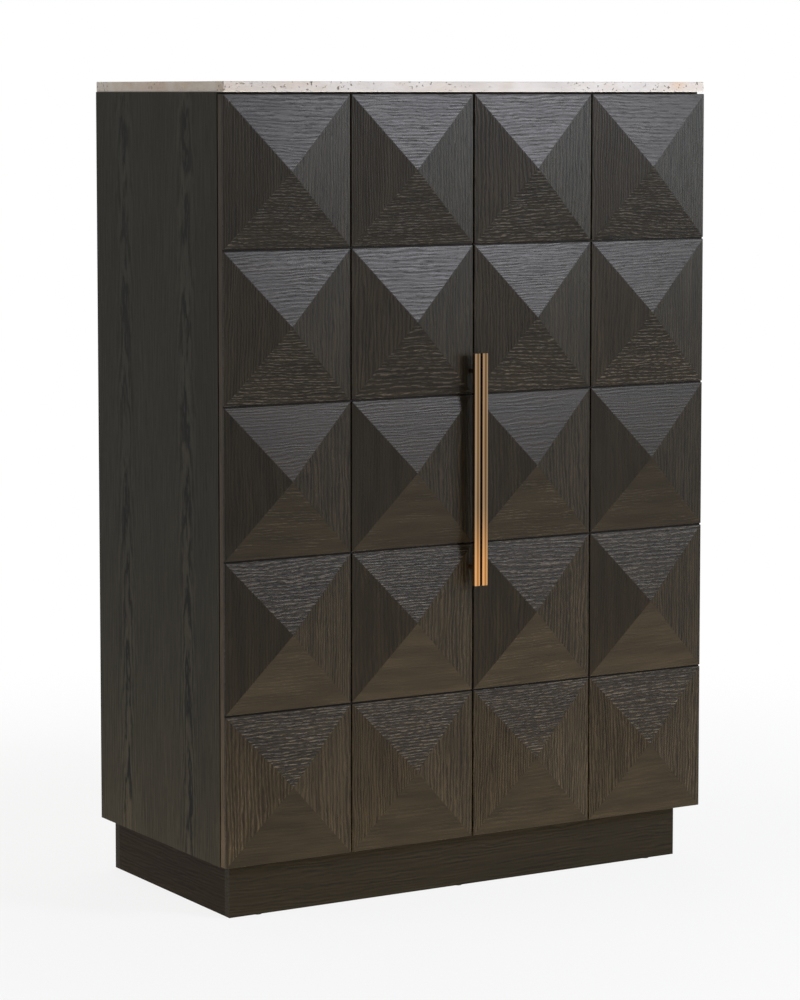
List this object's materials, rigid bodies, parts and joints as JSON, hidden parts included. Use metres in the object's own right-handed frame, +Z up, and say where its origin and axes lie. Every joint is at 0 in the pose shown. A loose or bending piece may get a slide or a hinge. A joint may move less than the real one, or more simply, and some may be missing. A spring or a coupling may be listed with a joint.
{
  "type": "storage cabinet",
  "caption": "Tall cabinet with hinged doors faced in pyramid blocks, bar handles at the meeting line, a pale stone slab on top and a recessed plinth.",
  "frame": {"origin": "on the floor, under the middle of the overall box", "axes": "+Z up, +Y from the doors to the back, +X to the right as seen from the front"},
  "size_m": [1.1, 0.565, 1.59],
  "materials": {
    "oak_facing": "matte",
    "oak_dark": "matte",
    "oak_inside": "matte",
    "plain_wood": "matte",
    "travertine": "satin",
    "bronze": "satin",
    "nickel_steel": "satin",
    "glide_nylon": "matte"
  },
  "bodies": {
    "carcass": {"stone_top": "travertine", "side_left": "oak_dark", "side_right": "oak_dark", "plinth_left": "oak_dark", "plinth_right": "oak_dark", "plinth_front": "oak_dark", "plinth_back": "oak_dark", "shelf_left_1": "oak_inside", "shelf_left_2": "oak_inside", "shelf_left_3": "oak_inside", "shelf_right_1": "oak_inside", "shelf_right_2": "oak_inside", "shelf_right_3": "oak_inside", "bottom_panel": "oak_inside", "top_panel": "oak_inside", "divider": "oak_inside", "back_panel": "oak_inside", "wall_rail": "oak_inside", "floor_glides": "glide_nylon", "plinth_corner_blocks": "plain_wood", "plinth_screws": "nickel_steel", "shelf_pins": "nickel_steel", "carcass_dowels": "plain_wood", "hinge_arms": "nickel_steel", "hinge_plates": "nickel_steel", "hinge_plate_screws": "nickel_steel"},
    "left_door": {"left_door_core": "oak_dark", "left_tile_1_outer": "oak_facing", "left_tile_1_inner": "oak_facing", "left_tile_2_outer": "oak_facing", "left_tile_2_inner": "oak_facing", "left_tile_3_outer": "oak_facing", "left_tile_3_inner": "oak_facing", "left_tile_4_outer": "oak_facing", "left_tile_4_inner": "oak_facing", "left_tile_5_outer": "oak_facing", "left_tile_5_inner": "oak_facing", "left_handle_bar": "bronze", "left_handle_posts": "bronze", "left_handle_screws": "nickel_steel", "left_hinge_cups": "nickel_steel", "left_hinge_pins": "nickel_steel", "left_hinge_cup_screws": "nickel_steel"},
    "right_door": {"right_door_core": "oak_dark", "right_tile_1_outer": "oak_facing", "right_tile_1_inner": "oak_facing", "right_tile_2_outer": "oak_facing", "right_tile_2_inner": "oak_facing", "right_tile_3_outer": "oak_facing", "right_tile_3_inner": "oak_facing", "right_tile_4_outer": "oak_facing", "right_tile_4_inner": "oak_facing", "right_tile_5_outer": "oak_facing", "right_tile_5_inner": "oak_facing", "right_handle_bar": "bronze", "right_handle_posts": "bronze", "right_handle_screws": "nickel_steel", "right_hinge_cups": "nickel_steel", "right_hinge_pins": "nickel_steel", "right_hinge_cup_screws": "nickel_steel"}
  },
  "joints": [
    {"name": "left_door_hinge", "type": "hinge", "parent": "carcass", "child": "left_door", "pos_m": [-0.5415, -0.241, 0.8378], "axis": [0, 0, -1], "range_deg": [0, 100]},
    {"name": "right_door_hinge", "type": "hinge", "parent": "carcass", "child": "right_door", "pos_m": [0.5415, -0.241, 0.8378], "axis": [0, 0, 1], "range_deg": [0, 100]}
  ]
}
